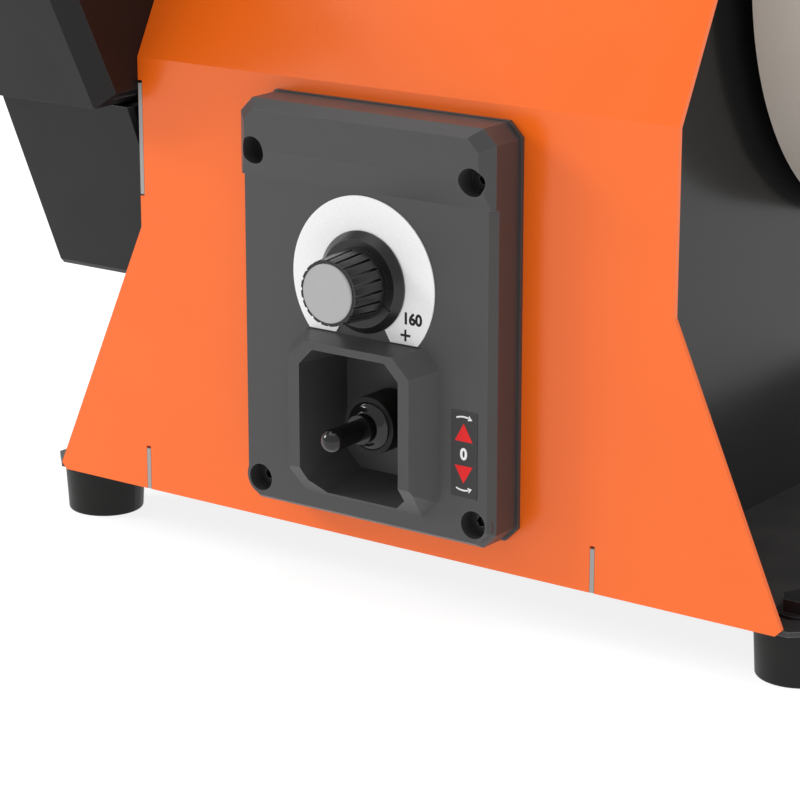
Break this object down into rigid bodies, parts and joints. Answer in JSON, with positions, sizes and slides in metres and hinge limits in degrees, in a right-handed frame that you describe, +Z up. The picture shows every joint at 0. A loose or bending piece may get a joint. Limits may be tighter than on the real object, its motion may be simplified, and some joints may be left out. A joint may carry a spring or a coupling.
{
  "type": "bench grinder",
  "caption": "Slow two-wheel bench grinder: a water-cooled stone with its tray and guard, a honing wheel, a reversible variable-speed drive and a tool support bar.",
  "frame": {"origin": "middle of the machine's footprint, on the bench under the feet", "axes": "+Z up, -Y towards the operator (control panel side), +X to the operator's right (honing wheel side)"},
  "size_m": [0.311, 0.3386, 0.36],
  "materials": {
    "orange_coat": "glossy powder coat",
    "black_steel": "satin powder coat",
    "black_gloss": "gloss powder coat",
    "rubber": "moulded",
    "lever_rubber": "smooth, slightly glossy",
    "dark_bolt": "blackened",
    "cast_housing": "cast",
    "bronze": "sintered, oiled",
    "bright_steel": "turned",
    "chrome_bar": "polished",
    "stone": "fine grit, vitrified",
    "honing_leather": "pale, close-napped",
    "dark_plastic": "moulded",
    "guard_plastic": "moulded, fine texture",
    "box_plastic": "moulded, fine texture",
    "knob_black": "moulded",
    "cap_grey": "satin disc",
    "dial_white": "printed, fine speckle",
    "label_black": "printed",
    "magnet": "plated",
    "laminations": "stacked sheet",
    "board_green": "solder mask",
    "aluminium": "extruded"
  },
  "bodies": {
    "root": {"base_plate": "black_steel", "front_cover": "orange_coat", "rear_cover": "black_steel", "left_side_plate": "black_gloss", "right_side_plate": "black_gloss", "rubber_feet": "rubber", "foot_bolts": "dark_bolt", "button_screws": "dark_bolt", "bearing_housings": "cast_housing", "housing_screws": "dark_bolt", "shaft_bushes": "bronze", "pivot_pin": "bright_steel", "cradle_spring": "bright_steel", "control_box": "box_plastic", "control_box_screws": "dark_bolt", "control_box_seal": "box_plastic", "dial_plate": "dial_white", "switch_label": "label_black", "speed_resistor": "dark_plastic", "switch_boot": "rubber", "switch_body": "dark_plastic", "board_standoffs": "bright_steel", "control_board": "board_green", "board_parts": "dark_plastic", "heat_sink": "aluminium", "cable_gland": "dark_plastic", "gland_nut": "dark_plastic", "stone_guard": "guard_plastic", "tray_magnets": "magnet", "support_sleeves": "bright_steel", "sleeve_nuts": "bright_steel", "handle_frame": "black_steel", "handle_grip": "rubber"},
    "spindle": {"main_shaft": "bright_steel", "grinding_stone": "stone", "stone_flanges": "bright_steel", "stone_nut": "bright_steel", "honing_core": "dark_plastic", "honing_band": "honing_leather", "honing_flange": "bright_steel", "honing_knob": "dark_plastic", "drive_wheel": "dark_plastic", "drive_tyre": "rubber", "shaft_collars": "bright_steel"},
    "motor": {"motor_case": "black_steel", "motor_caps": "cast_housing", "motor_magnets": "magnet", "motor_cradle": "black_steel"},
    "rotor": {"rotor_core": "laminations", "rotor_shaft": "bright_steel", "drive_roller": "bright_steel"},
    "speed_knob": {"knob_shaft": "bright_steel", "knob_skirt": "knob_black", "knob_body": "knob_black", "knob_cap": "cap_grey"},
    "switch_lever": {"switch_lever": "lever_rubber"},
    "water_tray": {"water_tray": "guard_plastic"},
    "support_bar": {"support_bar": "chrome_bar"},
    "clamp_knob_left": {"clamp_knob_left": "knob_black"},
    "clamp_knob_right": {"clamp_knob_right": "knob_black"}
  },
  "joints": [
    {"name": "spindle_spin", "type": "hinge", "parent": "root", "child": "spindle", "pos_m": [0.0105, 0.04628, 0.194], "axis": [1, 0, 0], "continuous": true},
    {"name": "cradle_swing", "type": "hinge", "parent": "root", "child": "motor", "pos_m": [0.0105, 0.05728, 0.095], "axis": [1, 0, 0], "range_deg": [0, 3], "stiffness_Nm_per_rad": 60, "springref_deg": -1.15},
    {"name": "rotor_spin", "type": "hinge", "parent": "motor", "child": "rotor", "pos_m": [0.0105, 0.00528, 0.13567], "axis": [1, 0, 0], "continuous": true},
    {"name": "speed_turn", "type": "hinge", "parent": "root", "child": "speed_knob", "pos_m": [0.0105, -0.12872, 0.103], "axis": [0, -1, 0], "range_deg": [0, 238]},
    {"name": "lever_throw", "type": "hinge", "parent": "root", "child": "switch_lever", "pos_m": [0.0105, -0.11872, 0.058], "axis": [1, 0, 0], "range_deg": [-12, 12]},
    {"name": "tray_lower", "type": "slide", "parent": "root", "child": "water_tray", "axis": [0, 0, -1], "range_m": [0, 0.034]},
    {"name": "bar_height", "type": "slide", "parent": "root", "child": "support_bar", "axis": [0, 0, 1], "range_m": [-0.01, 0.04]},
    {"name": "left_clamp_turn", "type": "hinge", "parent": "root", "child": "clamp_knob_left", "pos_m": [-0.0615, -0.04272, 0.319], "axis": [0, -1, 0], "range_deg": [0, 360]},
    {"name": "right_clamp_turn", "type": "hinge", "parent": "root", "child": "clamp_knob_right", "pos_m": [0.0585, -0.04272, 0.319], "axis": [0, -1, 0], "range_deg": [0, 360]}
  ],
  "couplings": [
    {"joint": "rotor_spin", "follows": "spindle_spin", "ratio": -10.833}
  ]
}
